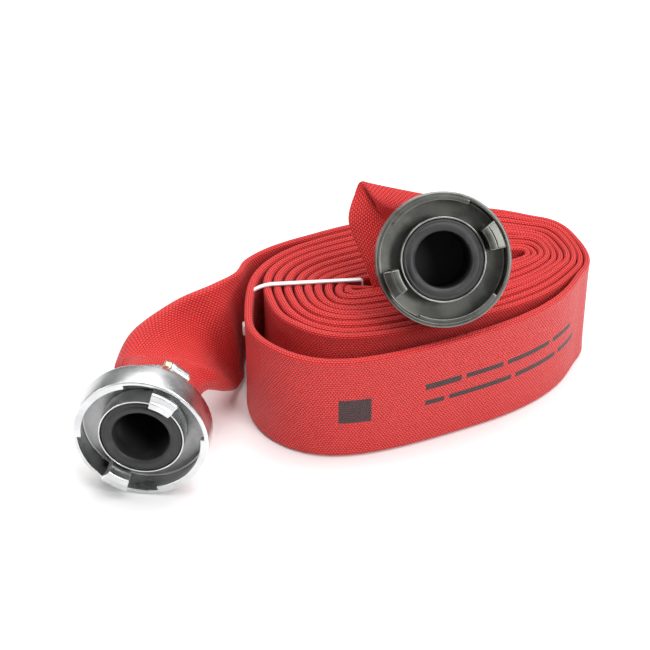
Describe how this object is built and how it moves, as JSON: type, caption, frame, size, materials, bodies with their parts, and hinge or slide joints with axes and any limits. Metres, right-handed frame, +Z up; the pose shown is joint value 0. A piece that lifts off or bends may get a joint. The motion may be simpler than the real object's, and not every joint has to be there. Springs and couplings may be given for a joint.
{
  "type": "rolled fire hose",
  "caption": "Flat woven fire hose rolled on its edge into a long coil, with a twist-lock claw coupling clamped on each end.",
  "frame": {"origin": "on the floor under the middle of the roll", "axes": "+Z up; -Y is the way the outer coupling faces; +X to the right seen from the couplings' side"},
  "size_m": [0.3649, 0.2906, 0.1871],
  "materials": {
    "hose_fabric": "woven, matt with a slight sheen",
    "bright_aluminium": "machined and lightly satin",
    "dark_aluminium": "cast and dark-coated, worn bright at the edges",
    "black_rubber": "smooth, slightly dusty",
    "clamp_steel": "bright rolled strip",
    "zinc_screw": "yellow zinc plate",
    "white_nylon": "plain nylon"
  },
  "bodies": {
    "hose": {"hose_roll": "hose_fabric", "outer_run": "hose_fabric", "inner_run": "hose_fabric", "outer_hose_end": "hose_fabric", "inner_hose_end": "hose_fabric", "outer_lining": "black_rubber", "inner_lining": "black_rubber", "outer_tail_piece": "bright_aluminium", "inner_tail_piece": "dark_aluminium", "outer_snap_ring": "clamp_steel", "inner_snap_ring": "clamp_steel", "outer_seal": "black_rubber", "inner_seal": "black_rubber", "outer_clamp_band": "clamp_steel", "inner_clamp_band": "clamp_steel", "outer_clamp_housing": "clamp_steel", "inner_clamp_housing": "clamp_steel", "cable_tie": "white_nylon"},
    "outer_ring": {"outer_lug_ring": "bright_aluminium"},
    "inner_ring": {"inner_lug_ring": "dark_aluminium"},
    "outer_screw": {"outer_clamp_screw": "zinc_screw"},
    "inner_screw": {"inner_clamp_screw": "zinc_screw"}
  },
  "joints": [
    {"name": "outer_ring_swivel", "type": "hinge", "parent": "hose", "child": "outer_ring", "pos_m": [-0.198, -0.189, 0.0498], "axis": [0, -0.9994, 0.0349], "continuous": true},
    {"name": "inner_ring_swivel", "type": "hinge", "parent": "hose", "child": "inner_ring", "pos_m": [0.008, -0.081, 0.1458], "axis": [0.1252, -0.848, 0.515], "continuous": true},
    {"name": "outer_screw_turn", "type": "hinge", "parent": "hose", "child": "outer_screw", "pos_m": [-0.17811, -0.14014, 0.07356], "axis": [-0.788, 0.0215, 0.6153], "continuous": true},
    {"name": "inner_screw_turn", "type": "hinge", "parent": "hose", "child": "inner_screw", "pos_m": [0.01975, -0.02442, 0.14289], "axis": [-0.8259, 0.1986, 0.5277], "continuous": true}
  ]
}
